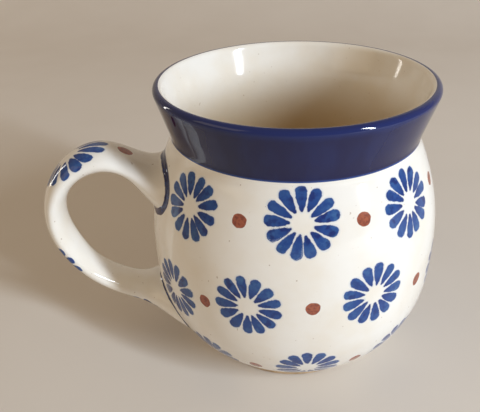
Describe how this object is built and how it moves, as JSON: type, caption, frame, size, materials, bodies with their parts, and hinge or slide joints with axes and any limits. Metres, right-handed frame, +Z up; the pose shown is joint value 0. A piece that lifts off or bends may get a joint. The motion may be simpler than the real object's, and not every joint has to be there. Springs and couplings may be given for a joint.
{
  "type": "stoneware mug",
  "caption": "Round-bellied stoneware mug with a flared cobalt rim, a strap handle, stamped blue flowers and rust dots under clear glaze.",
  "frame": {"origin": "centre of the foot ring's resting plane, on the cup's axis", "axes": "+Z up along the cup's axis, towards the rim; the handle lies along -X; +Y completes the right-handed frame"},
  "size_m": [0.1241, 0.0916, 0.093],
  "materials": {
    "bare_stoneware": "unglazed fired stoneware, matt and slightly sandy",
    "slip": "fired luting slip, matt",
    "clear_glaze": "glossy clear glaze over a warm cream body",
    "cobalt_band": "glossy deep cobalt, brighter blue where it thins on the lip",
    "cobalt_print": "glossy cobalt stamp print, darker towards the petals' edges",
    "cobalt_line": "glossy dark blue brush line",
    "rust_print": "glossy rust brown dot, mottled"
  },
  "bodies": {
    "root": {"cup_body": "bare_stoneware", "strap_handle": "bare_stoneware", "upper_slip_joint": "slip", "lower_slip_joint": "slip", "cobalt_rim_band": "cobalt_band", "stamped_flowers": "cobalt_print", "painted_dots": "rust_print", "handle_root_lines": "cobalt_line", "belly_glaze": "clear_glaze", "handle_glaze": "clear_glaze", "liner_glaze": "clear_glaze", "foot_recess_glaze": "clear_glaze"}
  },
  "joints": []
}
